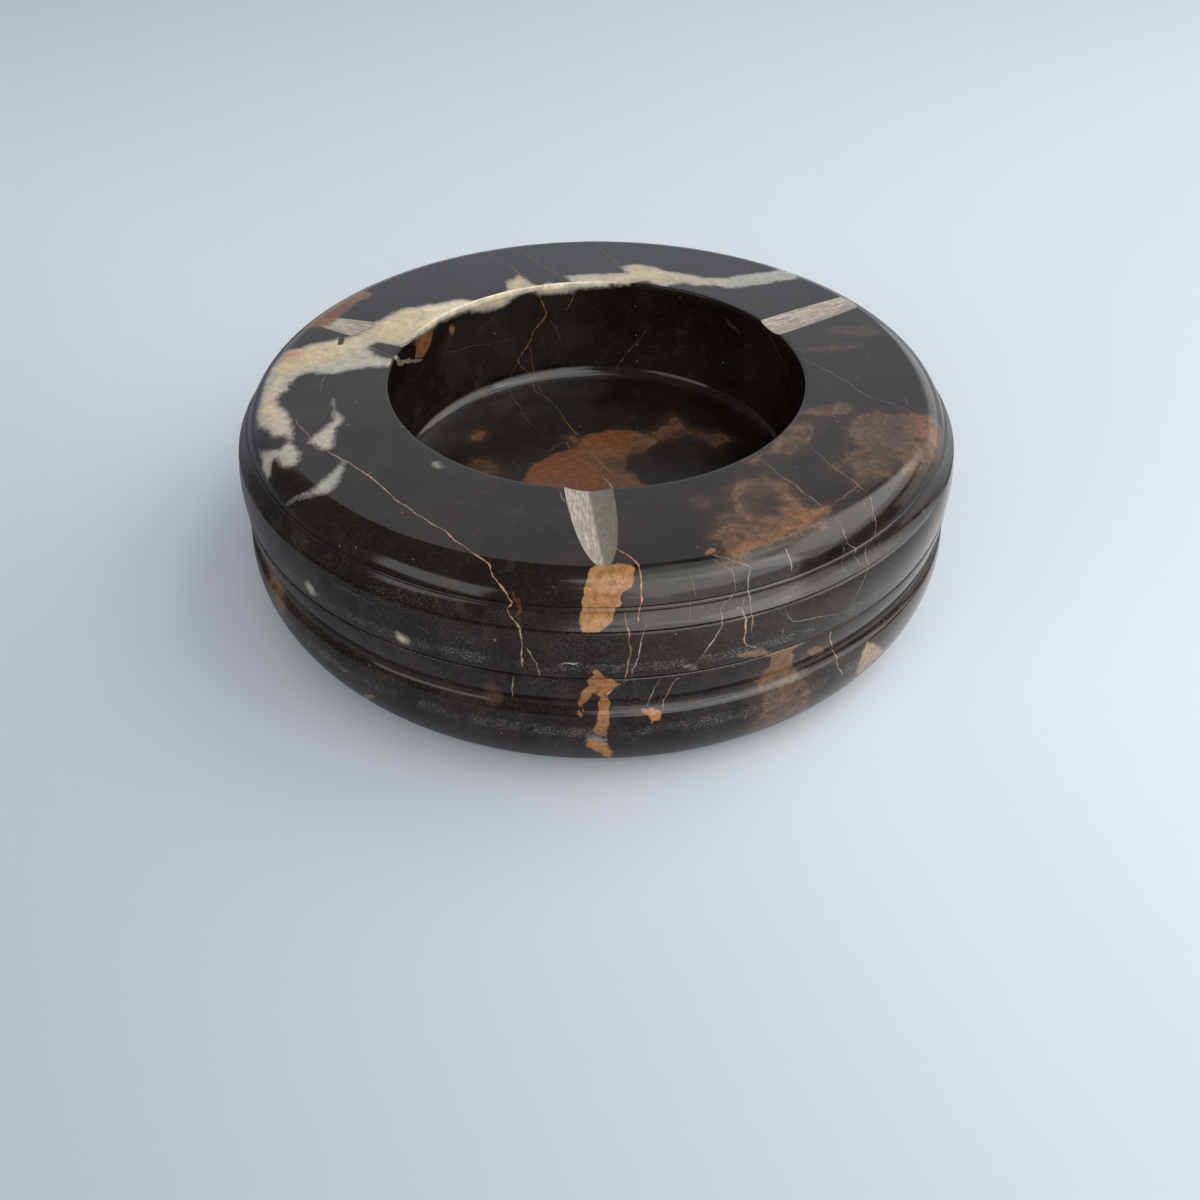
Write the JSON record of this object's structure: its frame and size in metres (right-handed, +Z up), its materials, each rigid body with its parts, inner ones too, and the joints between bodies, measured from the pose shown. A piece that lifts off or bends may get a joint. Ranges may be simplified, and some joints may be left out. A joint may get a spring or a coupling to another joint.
{
  "type": "ashtray",
  "caption": "Round turned marble ashtray with an undercut bowl, a flat ring top with shallow cigarette rests, banded sides and a flat foot.",
  "frame": {"origin": "middle of the flat foot, on the surface that the ashtray stands on", "axes": "+Z up along the turning axis; -Y towards the front cigarette rest"},
  "size_m": [0.15, 0.15, 0.046],
  "materials": {
    "polished_marble": "polished brown-black marble with cream and rust veins; the cigarette rests are left as ground, pale grey and matt"
  },
  "bodies": {
    "root": {"marble_body": "polished_marble"}
  },
  "joints": []
}
